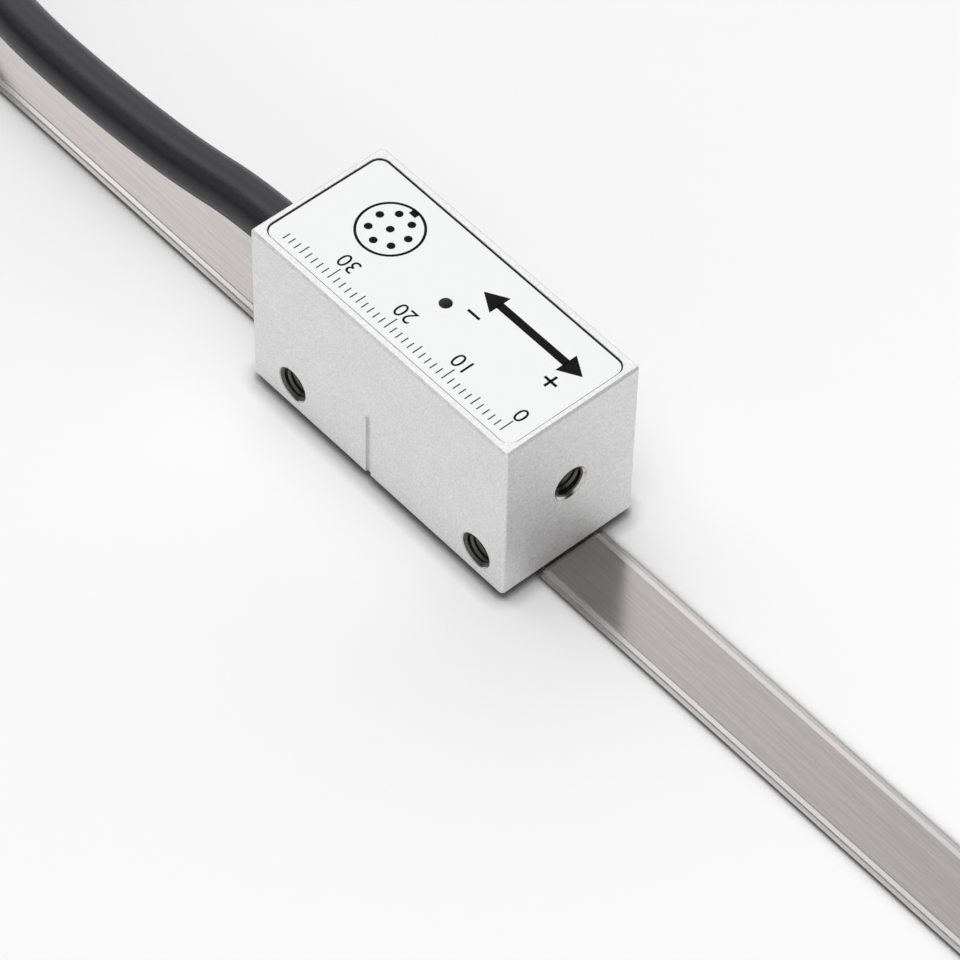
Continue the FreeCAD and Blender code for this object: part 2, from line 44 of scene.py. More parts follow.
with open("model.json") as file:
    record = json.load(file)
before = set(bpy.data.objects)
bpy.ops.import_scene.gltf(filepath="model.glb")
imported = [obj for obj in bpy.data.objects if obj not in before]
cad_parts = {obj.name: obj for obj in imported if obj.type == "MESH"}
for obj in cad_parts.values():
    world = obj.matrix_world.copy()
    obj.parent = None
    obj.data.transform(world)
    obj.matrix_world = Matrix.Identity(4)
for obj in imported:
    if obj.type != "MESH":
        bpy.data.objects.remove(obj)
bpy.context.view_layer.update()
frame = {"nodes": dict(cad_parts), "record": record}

X_AXIS = Vector((1.0, 0.0, 0.0))
Y_AXIS = Vector((0.0, 1.0, 0.0))
Z_AXIS = Vector((0.0, 0.0, 1.0))
QUARTER_TURN = math.pi / 2.0


# Values that a user may change


def length(label, about, default):
    """A property for a length in metres."""
    return FloatProperty(
        name=label, description=about, default=default, precision=5, unit="LENGTH", subtype="DISTANCE"
    )


def colour(label, about, default):
    """A property for a colour."""
    return FloatVectorProperty(
        name=label, description=about, default=default, size=3, min=0.0, max=1.0, subtype="COLOR"
    )


def level(label, about, default):
    """A property for an amount of light."""
    return FloatProperty(name=label, description=about, default=default, min=0.0, soft_max=2.0)


def portion(label, about, default):
    """A property for a part of a whole."""
    return FloatProperty(name=label, description=about, default=default, min=0.0, max=1.0)


def location(label, about, default):
    """A property for a place in metres."""
    return FloatVectorProperty(
        name=label, description=about, default=default, subtype="XYZ", unit="LENGTH"
    )


def heading(label, about, default):
    """A property for a direction."""
    return FloatVectorProperty(name=label, description=about, default=default, subtype="DIRECTION")


class EncoderSizes(bpy.types.PropertyGroup):
    """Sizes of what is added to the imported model"""

    cable_diameter: length("Cable diameter", "Outside of the cable's jacket", 0.0064)
    cable_length: length("Cable length", "From the head to the back of the connector", 1.0)
    cable_lift: length("Cable lift", "Height of the lowest cable above the bench", 0.00085)
    hank_front: length("Hank front", "Where the folds nearer to the head begin, along X", -0.1445)
    hank_back: length("Hank back", "Where the folds away from the head begin, along X", -0.2078)
    hank_fold: length("Fold radius", "Radius of the middle of the cable in a fold", 0.0192)
    hank_climb: length("Climb", "Run in which the cable climbs by one layer", 0.04)
    strap_width: length("Strap width", "Width of the straps round the hank", 0.01)
    strap_thickness: length("Strap thickness", "Thickness of one layer of strap", 0.0008)
    strap_tongue: length("Strap tongue", "Length of the strap's doubled end", 0.0125)
    hole_radius: length("Hole radius", "Root of the thread in the fixing holes", 0.002)
    hole_pitch: length("Hole thread pitch", "Distance between turns in the fixing holes", 0.0007)
    hole_depth: length("Hole thread depth", "Height of the thread in the fixing holes", 0.00026)
    mouth_depth: length("Mouth depth", "Depth of the chamfer at the fixing holes", 0.00045)
    side_lip: length("Side lip", "Depth of the bright rim of that chamfer at the side holes", 0.0001)
    end_lip: length("End lip", "Depth of the bright rim of that chamfer at the end hole", 0.00028)
    mouth_wall: length("Mouth wall", "Thickness of the lining on that chamfer", 0.00002)
    coupling_pitch: length("Coupling pitch", "Distance between turns on the coupling", 0.001)
    coupling_ridge: length("Coupling ridge", "Height of the thread on the coupling", 0.00018)
    # Printed border, its extra width at the far and rear edges painted shade of the plate's recess wall
    border_wide: length("Border, wide", "Printed border at the far and rear edges", 0.00022)
    border_thin: length("Border, thin", "Printed border at the near and front edges", 0.00012)
    print_height: length("Print height", "Thickness of the print", 0.000008)
    numeral_height: length("Numeral height", "Height of the numbers on the plate", 0.0021)


class EncoderColours(bpy.types.PropertyGroup):
    """Colours of the finishes"""

    aluminium: colour("Aluminium", "Blasted housing", (0.78, 0.78, 0.78))
    cut_aluminium: colour("Cut aluminium", "Mouths of the fixing holes", (0.58, 0.575, 0.565))
    # Thread: dark as painted shade, for the shade inside the fixing holes
    thread: colour("Thread", "Oiled threads in the housing", (0.105, 0.105, 0.100))
    plate: colour("Plate", "Ground of the nameplate", (0.86, 0.863, 0.868))
    ink: colour("Ink", "Print on the nameplate", (0.0055, 0.0055, 0.006))
    tape: colour("Tape", "Brushed cover strip of the scale", (0.40, 0.371, 0.362))
    ledge: colour("Ledge", "Bright edges of the scale", (0.60, 0.585, 0.57))
    carrier: colour("Carrier", "Widest layer of the scale", (0.46, 0.447, 0.434))
    # Dark as painted shade: the adhesive draws the dark line along the foot of the scale
    film: colour("Film", "Adhesive under the scale", (0.05, 0.05, 0.048))
    jacket: colour("Jacket", "Cable jacket", (0.0078, 0.0078, 0.0125))
    lens: colour("Lens", "Status light when it is off", (0.005, 0.005, 0.006))
    plastic: colour("Plastic", "Covers and connector grip", (0.014, 0.014, 0.016))
    strap: colour("Strap", "Straps round the hank", (0.020, 0.021, 0.025))
    board: colour("Board", "Solder mask of the boards", (0.012, 0.11, 0.05))
    nickel: colour("Nickel", "Plating of the coupling", (0.70, 0.68, 0.64))
    brass: colour("Brass", "Ferrule and spacers", (0.62, 0.46, 0.20))
    gold: colour("Gold", "Contacts", (0.83, 0.60, 0.25))
    steel: colour("Steel", "Screws inside the head", (0.55, 0.55, 0.56))
    rubber: colour("Rubber", "Seals and the bush of the cable", (0.02, 0.02, 0.021))
    chip: colour("Chip", "Moulded chips", (0.018, 0.018, 0.02))
    ceramic: colour("Ceramic", "Capacitors", (0.42, 0.30, 0.19))
    led: colour("LED", "Body of the status light", (0.80, 0.79, 0.70))
    header: colour("Header", "Plug blocks on the boards", (0.76, 0.74, 0.66))
    wire: colour("Wire", "Wires in the viewport", (0.5, 0.5, 0.5))


class EncoderStage(bpy.types.PropertyGroup):
    """Bench, light and camera"""

    camera_place: location("Camera place", "Where the camera stands", (0.27744, -0.24755, 0.44989))
    camera_target: location(
        "Camera target", "Point on the bench at the middle of the picture", (0.00724, -0.00014, 0.0)
    )
    camera_roll: FloatProperty(
        name="Camera roll",
        description="Turn about the line of sight",
        default=math.radians(1.5115),
        subtype="ANGLE",
        unit="ROTATION",
    )
    camera_lens: FloatProperty(
        name="Camera lens", description="Focal length", default=183.95, unit="CAMERA"
    )
    floor: colour("Floor", "Bench under the encoder", (0.93, 0.93, 0.93))
    # The contact shadow is painted shade that darkens the bench's colour
    contact: length("Contact shadow", "Reach of the shade where something stands on the bench", 0.0026)
    contact_depth: portion("Contact depth", "Share of light left in that shade", 0.18)
    ceiling: level("Ceiling", "Light from high up", 0.36)
    walls: level("Walls", "Light from lower down", 0.85)
    skirting: portion("Skirting", "Share of the walls' light just over the bench", 0.12)
    dimming: portion("Dimming", "Light that a dark curtain takes away", 0.96)
    curtain_side: heading("Curtain side", "Direction of the dark curtain", (0.47, 0.45, 0.76))
    panel: level("Panel", "Light that a wide panel adds at the rear", 1.12)
    panel_front: portion("Panel front", "Share of that light at the panel's front edge", 0.52)
    strip: level("Strip", "Light that a narrow lamp adds over the cable", 1.6)
    strip_side: heading("Strip side", "Direction of the narrow lamp", (-0.48, -0.15, 0.865))
    lamp_power: FloatProperty(
        name="Lamp power", description="Soft lamp overhead", default=6.15, min=0.0, unit="POWER"
    )
    lamp_place: location("Lamp place", "Where the soft lamp hangs", (0.23, -0.13, 1.13))
    lamp_size: length("Lamp size", "Side of the soft lamp", 1.0)


# Patterns that several finishes share

GRAIN = "Fine grain"
LINES = "Brushed lines"
CLOTH = "Woven cloth"
# How coarse the clouds in the grain are, and how far they show
CLOUD_SCALE = 0.07
CLOUD_SHARE = 0.14
# How far brushed lines and hairs are drawn out along X, and how fine the hairs are
LINE_STRETCH = (0.008, 1.0, 1.0)
HAIR_STRETCH = (0.03, 1.0, 1.0)
HAIR_SCALE = 2.6
# How coarse the fuzz on cloth is
FUZZ_SCALE = 0.7


def pattern(name):
    """An empty pattern group with a place and a size in, a tone and a height out."""
    tree = bpy.data.node_groups.new(name, "ShaderNodeTree")
    tree.interface.new_socket(name="Vector", in_out="INPUT", socket_type="NodeSocketVector")
    tree.interface.new_socket(name="Size", in_out="INPUT", socket_type="NodeSocketFloat")
    tree.interface.new_socket(name="Tone", in_out="OUTPUT", socket_type="NodeSocketFloat")
    tree.interface.new_socket(name="Height", in_out="OUTPUT", socket_type="NodeSocketFloat")
    return tree, tree.nodes.new("NodeGroupInput"), tree.nodes.new("NodeGroupOutput")


def arithmetic(tree, operation, *values):
    """A Math node on values that are sockets or numbers."""
    node = tree.nodes.new("ShaderNodeMath")
    node.operation = operation
    for socket, value in zip(node.inputs, values):
        if isinstance(value, bpy.types.NodeSocket):
            tree.links.new(value, socket)
        else:
            socket.default_value = value
    return node.outputs["Value"]


def product(tree, first, *others):
    """Several values multiplied with each other."""
    for other in others:
        first = arithmetic(tree, "MULTIPLY", first, other)
    return first


def cloud(tree, vector, scale, detail):
    """A noise texture on a vector, at a scale given by a socket."""
    noise = tree.nodes.new("ShaderNodeTexNoise")
    noise.inputs["Detail"].default_value = detail
    tree.links.new(vector, noise.inputs["Vector"])
    tree.links.new(scale, noise.inputs["Scale"])
    return noise.outputs["Fac"]


def stretched(tree, vector, factors):
    """A vector multiplied by fixed factors."""
    node = tree.nodes.new("ShaderNodeVectorMath")
    node.operation = "MULTIPLY"
    node.inputs[1].default_value = factors
    tree.links.new(vector, node.inputs[0])
    return node.outputs["Vector"]


def blended(tree, first, second, share):
    """A mix of two values, with a share of the second."""
    kept = product(tree, first, 1.0 - share)
    return arithmetic(tree, "ADD", kept, product(tree, second, share))


def make_fine_grain():
    """Even grain, as of a blasted or moulded surface, with faint clouds in it."""
    tree, given, result = pattern(GRAIN)
    scale = arithmetic(tree, "DIVIDE", 1.0, given.outputs["Size"])
    coarse = product(tree, scale, CLOUD_SCALE)
    grain = cloud(tree, given.outputs["Vector"], scale, detail=2.0)
    clouds = cloud(tree, given.outputs["Vector"], coarse, detail=3.0)
    tree.links.new(blended(tree, grain, clouds, CLOUD_SHARE), result.inputs["Tone"])
    tree.links.new(grain, result.inputs["Height"])


def make_brushed_lines():
    """Long fine scratches along X, with a finer set between them."""
    tree, given, result = pattern(LINES)
    scale = arithmetic(tree, "DIVIDE", 1.0, given.outputs["Size"])
    finer = product(tree, scale, HAIR_SCALE)
    lines = cloud(tree, stretched(tree, given.outputs["Vector"], LINE_STRETCH), scale, detail=3.0)
    hairs = cloud(tree, stretched(tree, given.outputs["Vector"], HAIR_STRETCH), finer, detail=2.0)
    both = blended(tree, lines, hairs, 0.5)
    tree.links.new(both, result.inputs["Tone"])
    tree.links.new(both, result.inputs["Height"])


def make_woven_cloth():
    """Strands that pass over and under each other, along X and across it."""
    tree, given, result = pattern(CLOTH)
    parts = tree.nodes.new("ShaderNodeSeparateXYZ")
    tree.links.new(given.outputs["Vector"], parts.inputs["Vector"])
    turns = arithmetic(tree, "DIVIDE", 2.0 * math.pi, given.outputs["Size"])
    across = arithmetic(tree, "ADD", parts.outputs["Y"], parts.outputs["Z"])
    warp = arithmetic(tree, "SINE", product(tree, parts.outputs["X"], turns))
    weft = arithmetic(tree, "SINE", product(tree, across, turns))
    height = arithmetic(tree, "MULTIPLY_ADD", product(tree, warp, weft), 0.5, 0.5)
    tree.links.new(height, result.inputs["Height"])
    scale = arithmetic(tree, "DIVIDE", FUZZ_SCALE, given.outputs["Size"])
    fuzz = cloud(tree, given.outputs["Vector"], scale, detail=3.0)
    tree.links.new(blended(tree, height, fuzz, 0.5), result.inputs["Tone"])


# Finishes

# Metals, in columns: name, colour, how far the colour spreads, least and most roughness, pattern,
# and the size and the relief of that pattern in metres
METALS = (
    ("blasted_aluminium", "aluminium", 0.14, (0.56, 0.67), GRAIN, 0.00026, 0.000022),
    ("cut_aluminium", "cut_aluminium", 0.08, (0.16, 0.26), GRAIN, 0.0003, 0.000004),
    # The thread finish is dark as painted shade for the inside of the holes
    ("oiled_thread", "thread", 0.25, (0.30, 0.42), GRAIN, 0.0003, 0.000004),
    ("brushed_cover", "tape", 0.15, (0.12, 0.22), LINES, 0.00024, 0.0000018),
    ("bright_steel", "ledge", 0.10, (0.20, 0.30), LINES, 0.00014, 0.0000015),
    ("carrier_steel", "carrier", 0.12, (0.22, 0.32), LINES, 0.00016, 0.0000015),
    ("screw_steel", "steel", 0.06, (0.24, 0.34), GRAIN, 0.0002, 0.000003),
    ("plain_brass", "brass", 0.08, (0.24, 0.36), LINES, 0.00012, 0.000003),
    ("contact_gold", "gold", 0.05, (0.16, 0.24), GRAIN, 0.0002, 0.000002),
    ("nickel_plate", "nickel", 0.06, (0.20, 0.32), GRAIN, 0.0004, 0.000006),
)
# Everything else, in the same columns, with other values of the shader where it needs any
OTHERS = (
    ("nameplate", "plate", 0.012, (0.36, 0.44), GRAIN, 0.0002, 0.0000015),
    ("ink", "ink", 0.2, (0.40, 0.52), GRAIN, 0.00008, 0.000002, {"Specular IOR Level": 0.06}),
    ("light_pipe", "lens", 0.15, (0.14, 0.2), GRAIN, 0.0004, 0.000001, {"IOR": 1.28}),
    ("cable_jacket", "jacket", 0.25, (0.31, 0.41), GRAIN, 0.0003, 0.000024, {"IOR": 1.46}),
    ("cover_plastic", "plastic", 0.15, (0.40, 0.52), GRAIN, 0.0003, 0.000014),
    ("grip_plastic", "plastic", 0.20, (0.42, 0.56), GRAIN, 0.00035, 0.000022),
    ("seal_rubber", "rubber", 0.2, (0.55, 0.68), GRAIN, 0.0002, 0.000012),
    ("chip_plastic", "chip", 0.2, (0.45, 0.58), GRAIN, 0.0001, 0.00001),
    ("capacitor_ceramic", "ceramic", 0.1, (0.30, 0.42), GRAIN, 0.0001, 0.000004),
    ("led_plastic", "led", 0.05, (0.22, 0.32), GRAIN, 0.0002, 0.000003),
    ("header_plastic", "header", 0.05, (0.38, 0.48), GRAIN, 0.0002, 0.000008),
    # The adhesive's dark colour is painted shade along the foot of the scale
    ("adhesive_film", "film", 0.15, (0.40, 0.55), GRAIN, 0.0003, 0.000012),
    ("strap_fabric", "strap", 0.45, (0.72, 0.88), CLOTH, 0.0007, 0.00012, {"Sheen Weight": 0.25}),
    ("circuit_board", "board", 0.1, (0.24, 0.36), GRAIN, 0.0004, 0.000006),
    ("wire_plastic", "wire", 0.05, (0.32, 0.44), GRAIN, 0.0003, 0.000006),
)
# Tones of a pattern at which a finish is at its darkest and its lightest
TONE_RANGE = (0.25, 0.75)
# Copper tracks of the boards: number in a metre, width, lightness, and shade of every other field
TRACKS_PER_METRE = 420.0
TRACK_WIDTH = 0.05
TRACK_SHADE = 1.9
FIELD_SHADE = 0.85
# Colours of the wires across their row, and half the width of the row
WIRE_COLOURS = (
    (0.62, 0.60, 0.56), (0.18, 0.08, 0.03), (0.03, 0.22, 0.06), (0.62, 0.46, 0.03),
    (0.25, 0.25, 0.26), (0.55, 0.20, 0.22), (0.03, 0.08, 0.34), (0.42, 0.02, 0.02),
)
WIRE_ROW = 0.005


def shaded(base, factor):
    """A colour made lighter or darker, with full alpha."""
    return [min(1.0, channel * factor) for channel in base] + [1.0]


def set_range(node, source, target):
    """Gives a Map Range node the range it reads and the range it puts out."""
    for side, values in (("From", source), ("To", target)):
        node.inputs[side + " Min"].default_value = values[0]
        node.inputs[side + " Max"].default_value = values[1]


def surface(name, base, spread, rough, grain, size, relief, values=None):
    """A finish whose colour, gloss and relief follow one pattern.

    The colour varies by the share spread, and the roughness between the two values of rough.
    """
    material = bpy.data.materials.new(name)
    material.use_nodes = True
    material.diffuse_color = shaded(base, 1.0)
    nodes = material.node_tree.nodes
    links = material.node_tree.links
    shader = nodes["Principled BSDF"]
    for socket, value in (values or {}).items():
        shader.inputs[socket].default_value = value
    place = nodes.new("ShaderNodeTexCoord")
    figure = nodes.new("ShaderNodeGroup")
    figure.node_tree = bpy.data.node_groups[grain]
    figure.inputs["Size"].default_value = size
    links.new(place.outputs["Object"], figure.inputs["Vector"])
    tint = nodes.new("ShaderNodeValToRGB")
    dark, light = tint.color_ramp.elements
    dark.position, light.position = TONE_RANGE
    dark.color = shaded(base, 1.0 - spread)
    light.color = shaded(base, 1.0 + spread)
    links.new(figure.outputs["Tone"], tint.inputs["Fac"])
    links.new(tint.outputs["Color"], shader.inputs["Base Color"])
    gloss = nodes.new("ShaderNodeMapRange")
    set_range(gloss, TONE_RANGE, rough)
    links.new(figure.outputs["Tone"], gloss.inputs["Value"])
    links.new(gloss.outputs["Result"], shader.inputs["Roughness"])
    bump = nodes.new("ShaderNodeBump")
    bump.inputs["Distance"].default_value = relief
    links.new(figure.outputs["Height"], bump.inputs["Height"])
    links.new(bump.outputs["Normal"], shader.inputs["Normal"])


def repainted(name):
    """The nodes and links of a finish whose colour won't come from its pattern."""
    tree = bpy.data.materials[name].node_tree
    tree.nodes.remove(tree.nodes["Color Ramp"])
    return tree.nodes, tree.links


def paint_boards(colours):
    """Solder mask with lighter tracks where copper runs under it."""
    nodes, links = repainted("circuit_board")
    tracks = nodes.new("ShaderNodeTexBrick")
    tracks.inputs["Scale"].default_value = TRACKS_PER_METRE
    tracks.inputs["Mortar Size"].default_value = TRACK_WIDTH
    tracks.inputs["Color1"].default_value = shaded(colours.board, FIELD_SHADE)
    tracks.inputs["Color2"].default_value = shaded(colours.board, 1.0)
    tracks.inputs["Mortar"].default_value = shaded(colours.board, TRACK_SHADE)
    links.new(nodes["Texture Coordinate"].outputs["Object"], tracks.inputs["Vector"])
    links.new(tracks.outputs["Color"], nodes["Principled BSDF"].inputs["Base Color"])


def paint_wires():
    """Insulation that changes colour from wire to wire across the row."""
    nodes, links = repainted("wire_plastic")
    parts = nodes.new("ShaderNodeSeparateXYZ")
    across = nodes.new("ShaderNodeMapRange")
    set_range(across, (-WIRE_ROW, WIRE_ROW), (0.0, 1.0))
    insulation = nodes.new("ShaderNodeValToRGB")
    insulation.color_ramp.interpolation = "CONSTANT"
    stops = insulation.color_ramp.elements
    stops[0].color = shaded(WIRE_COLOURS[0], 1.0)
    stops[1].position = 1.0 - 1.0 / len(WIRE_COLOURS)
    stops[1].color = shaded(WIRE_COLOURS[-1], 1.0)
    for index, shade in enumerate(WIRE_COLOURS[1:-1], start=1):
        stops.new(index / len(WIRE_COLOURS)).color = shaded(shade, 1.0)
    links.new(nodes["Texture Coordinate"].outputs["Object"], parts.inputs["Vector"])
    links.new(parts.outputs["Y"], across.inputs["Value"])
    links.new(across.outputs["Result"], insulation.inputs["Fac"])
    links.new(insulation.outputs["Color"], nodes["Principled BSDF"].inputs["Base Color"])


# Pieces whose finish differs a little from the rest of their slot
OWN_FINISH = {"carrier_strip": "carrier_steel"}


class ENCODER_OT_finishes(bpy.types.Operator):
    """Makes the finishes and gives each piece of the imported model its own"""

    bl_idname = "encoder.finishes"
    bl_label = "Finish the surfaces"

    def execute(self, context):
        colours = context.scene.encoder_colours
        for node in frame["nodes"].values():
            node.data.materials.clear()
        for plain in list(bpy.data.materials):
            bpy.data.materials.remove(plain)
        make_fine_grain()
        make_brushed_lines()
        make_woven_cloth()
        for name, base, *look in METALS:
            surface(name, getattr(colours, base), *look, {"Metallic": 1.0})
        for name, base, *look in OTHERS:
            surface(name, getattr(colours, base), *look)
        paint_boards(colours)
        paint_wires()
        for part in frame["record"]["subparts"]:
            node = frame["nodes"][part["node"]]
            finish = OWN_FINISH.get(part["node"], part["material_slot"])
            node.data.materials.append(bpy.data.materials[finish])
        return {"FINISHED"}


# Pieces

# Points nearer to each other than this are one, and edges sharper than this stay crisp
SAME_PLACE = 1e-7
CRISP_EDGE = math.radians(35.0)


def placed(piece, body, slot, finish=None):
    """A piece in the scene that moves with its body and wears its finish."""
    bpy.context.scene.collection.objects.link(piece)
    piece.data.materials.append(bpy.data.materials[finish or slot])
    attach(piece, body)
    return piece


def solid(name, shape, body, slot, finish=None):
    """A bmesh made into a piece with outward faces and crisp edges."""
    bmesh.ops.remove_doubles(shape, verts=shape.verts, dist=SAME_PLACE)
    bmesh.ops.recalc_face_normals(shape, faces=shape.faces)
    mesh = bpy.data.meshes.new(name)
    shape.to_mesh(mesh)
    shape.free()
    mesh.shade_smooth()
    mesh.set_sharp_from_angle(angle=CRISP_EDGE)
    return placed(bpy.data.objects.new(name, mesh), body, slot, finish)


def vertices(geometry):
    """The vertices among what an operator gave back."""
    return [item for item in geometry if isinstance(item, bmesh.types.BMVert)]


def sheet(shape, place):
    """The corners of a flat square with sides of 1, put in place by a matrix."""
    return bmesh.ops.create_grid(shape, x_segments=1, y_segments=1, size=0.5, matrix=place)["verts"]


def rounded(shape, corners, radius, segments):
    """Corners of a flat face cut to arcs."""
    bmesh.ops.bevel(
        shape,
        geom=corners,
        offset=radius,
        offset_type="OFFSET",
        affect="VERTICES",
        segments=segments,
        profile=0.5,
        material=-1,
    )


# Points of the cable's line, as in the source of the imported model
LEAD = (
    (-0.0225, 0.0, 0.01375),
    (-0.034, 0.0, 0.01375),
    (-0.0438, -0.0017, 0.0138),
    (-0.0531, -0.00245, 0.01375),
    (-0.0632, -0.00275, 0.01355),
    (-0.0745, -0.0026, 0.01325),
    (-0.0858, -0.0010, 0.0125),
    (-0.0970, 0.0014, 0.0104),
    (-0.1070, 0.0047, 0.0073),
    (-0.1155, 0.0082, 0.00485),
    (-0.1230, 0.0115, 0.00411),
    (-0.1300, 0.0146, 0.00405),
    (-0.1370, 0.0174, 0.00405),
    (-0.1445, 0.0192, 0.00405),
)
TAIL = (
    (-0.2078, 0.0192, 0.02325),
    (-0.2163, 0.0192, 0.02355),
    (-0.2258, 0.0191, 0.02355),
    (-0.2378, 0.0188, 0.0209),
    (-0.2498, 0.0184, 0.0150),
    (-0.2618, 0.0180, 0.0092),
    (-0.2733, 0.0178, 0.00725),
)
HANK_LAYERS = 4
FOLD_STEPS = 6


def fold_points(sizes, x, way, z):
    """Points round a fold. The way is 1 for the fold near the head and -1 for the other."""
    half_step = math.pi / FOLD_STEPS / 2.0
    reach = sizes.hank_fold / math.cos(half_step)
    points = []
    for index in range(FOLD_STEPS):
        angle = half_step * (2 * index + 1)
        points.append((x + way * reach * math.sin(angle), -way * reach * math.cos(angle), z))
    return points


def hank_points(sizes):
    """Points of the put-away turns, from the lowest far run to the uppermost."""
    lean = sizes.hank_fold * math.tan(math.pi / FOLD_STEPS / 2.0)
    front = sizes.hank_front - lean
    back = sizes.hank_back + lean
    climb = sizes.hank_front - sizes.hank_climb
    points = []
    for layer in range(HANK_LAYERS - 1):
        z = sizes.cable_lift + sizes.cable_diameter * (layer + 0.5)
        higher = z + sizes.cable_diameter
        points.append((back, sizes.hank_fold, z))
        points.extend(fold_points(sizes, sizes.hank_back, -1, z))
        points.append((back, -sizes.hank_fold, z))
        points.append((climb, -sizes.hank_fold, z))
        points.append((front, -sizes.hank_fold, higher))
        points.extend(fold_points(sizes, sizes.hank_front, 1, higher))
        points.append((front, sizes.hank_fold, higher))
    return points


class ENCODER_OT_cable(bpy.types.Operator):
    """Lays the cable from the head, through its hank, to the connector"""

    bl_idname = "encoder.cable"
    bl_label = "Lay the cable"

    def execute(self, context):
        sizes = context.scene.encoder_sizes
        route = [*LEAD, *hank_points(sizes), *TAIL]
        line = bpy.data.curves.new("cable", "CURVE")
        line.dimensions = "3D"
        spline = line.splines.new("NURBS")
        spline.points.add(len(route) - 1)
        for point, place in zip(spline.points, route):
            point.co = (*place, 1.0)
        spline.order_u = 3
        spline.use_endpoint_u = True
        spline.resolution_u = 8
        line.bevel_depth = sizes.cable_diameter / 2.0
        line.bevel_resolution = 6
        line.use_fill_caps = True
        cable = placed(bpy.data.objects.new("cable", line), "read_head", "cable_jacket")
        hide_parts("cable_lead", "cable_hank", "cable_tail")
        return {"FINISHED"}


# Straps: how far they lie from the back of the hank
FAR_STRAP = 0.030
NEAR_STRAP = 0.012
# Rounding of the band as a part of its width, and of its edges as a part of its thickness
BAND_ROUNDING = 0.49
EDGE_ROUNDING = 0.2
# Tongue: width and rounding as parts of the strap's width, thickness as a part of the strap's
TONGUE_WIDTH = 0.92
TONGUE_ROUNDING = 0.3
TONGUE_THICKNESS = 0.8


def strap_loop(shape, sizes, x, y, top):
    """The closed band, a ring of wall that is drawn out along X."""
    middle = sizes.strap_thickness / 2.0
    wide = sizes.cable_diameter + 3.0 * middle
    tall = top - 2.0 * middle
    place = Matrix.Translation((x - sizes.strap_width / 2.0, y, middle + tall / 2.0))
    upright = Matrix.Rotation(QUARTER_TURN, 4, "Y")
    size = Matrix.Diagonal((tall, wide, 1.0, 1.0))
    rounded(shape, sheet(shape, place @ upright @ size), wide * BAND_ROUNDING, segments=9)
    bmesh.ops.delete(shape, geom=shape.faces[:], context="FACES_ONLY")
    drawn = bmesh.ops.extrude_edge_only(shape, edges=shape.edges[:])
    bmesh.ops.translate(shape, vec=X_AXIS * sizes.strap_width, verts=vertices(drawn["geom"]))
    bmesh.ops.recalc_face_normals(shape, faces=shape.faces)
    bmesh.ops.solidify(shape, geom=shape.faces[:], thickness=-middle)
    bmesh.ops.recalc_face_normals(shape, faces=shape.faces)


def strap_tongue(shape, sizes, x, y, z):
    """The strap's free end, pressed flat on its side, with two rounded corners."""
    place = Matrix.Translation((x, y, z))
    upright = Matrix.Rotation(QUARTER_TURN, 4, "X")
    size = Matrix.Diagonal((sizes.strap_width * TONGUE_WIDTH, sizes.strap_tongue, 1.0, 1.0))
    corners = sheet(shape, place @ upright @ size)
    lower = [corner for corner in corners if corner.co.z < z]
    upper = [corner for corner in corners if corner.co.z > z]
    rounded(shape, lower, sizes.strap_width * TONGUE_ROUNDING, segments=6)
    grown = bmesh.ops.extrude_face_region(shape, geom=upper[0].link_faces[:])
    thickness = sizes.strap_thickness * TONGUE_THICKNESS
    bmesh.ops.translate(shape, vec=Y_AXIS * thickness, verts=vertices(grown["geom"]))


class ENCODER_OT_straps(bpy.types.Operator):
    """Ties the hank with two woven straps"""

    bl_idname = "encoder.straps"
    bl_label = "Tie the hank"

    def execute(self, context):
        sizes = context.scene.encoder_sizes
        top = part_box("cable_ties")[1].z
        half_width = sizes.cable_diameter / 2.0 + sizes.strap_thickness
        ties = (
            ("far_strap", sizes.hank_back + FAR_STRAP, sizes.hank_fold, top),
            ("near_strap", sizes.hank_back + NEAR_STRAP, -sizes.hank_fold, top - sizes.cable_diameter),
        )
        for name, x, y, height in ties:
            shape = bmesh.new()
            strap_loop(shape, sizes, x, y, height)
            strap_tongue(shape, sizes, x, y + half_width, height / 2.0)
            strap = solid(name, shape, "read_head", "strap_fabric")
            edge = strap.modifiers.new("Soft edges", "BEVEL")
            edge.width = sizes.strap_thickness * EDGE_ROUNDING
            edge.segments = 2
            edge.limit_method = "ANGLE"
            if name == "far_strap":
                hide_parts("cable_ties")
        return {"FINISHED"}


# Threads: corners of one turn, and half the width of the crest in pitches
STEPS_PER_TURN = 36
HALF_CREST = 0.08
# How far the lining of a hole's mouth, a dark sheet of painted shade, reaches past the chamfer, in
# pitches
LINING_REACH = 1.5
# Sleeve of the coupling screw under its thread, and how deep the thread's root sinks into it
SLEEVE_RADIUS = 0.00595
SLEEVE_LENGTH = 0.008
ROOT_SINK = 0.995
# Where that thread begins and how much of the sleeve it leaves plain, in pitches
FIRST_TURN = 1.1
PLAIN_TURNS = 1.7


def outline(shape, centre, axis, profile):
    """A closed line through places along an axis and at radii from it."""
    side = axis.orthogonal().normalized()
    corners = [shape.verts.new(centre + axis * along + side * radius) for along, radius in profile]
    edges = [shape.edges.new(pair) for pair in zip(corners, corners[1:] + corners[:1])]
    return corners + edges


def thread(shape, start, axis, run, root, crest, pitch):
    """A right-handed ridge that winds along an axis, closed at both ends."""
    foot = pitch / 2.0
    land = pitch * HALF_CREST
    steps = round(run / pitch * STEPS_PER_TURN)
    bmesh.ops.spin(
        shape,
        geom=outline(shape, start, axis, ((-foot, root), (-land, crest), (land, crest), (foot, root))),
        cent=start,
        axis=axis,
        dvec=axis * (run / steps),
        angle=2.0 * math.pi * run / pitch,
        steps=steps,
    )
    ends = [edge for edge in shape.edges if edge.is_boundary]
    bmesh.ops.holes_fill(shape, edges=ends)


def ring(shape, centre, axis, profile):
    """A closed profile of places along an axis and radii, turned once round it."""
    bmesh.ops.spin(
        shape,
        geom=outline(shape, centre, axis, profile),
        cent=centre,
        axis=axis,
        angle=2.0 * math.pi,
        steps=STEPS_PER_TURN * 2,
        use_merge=True,
    )


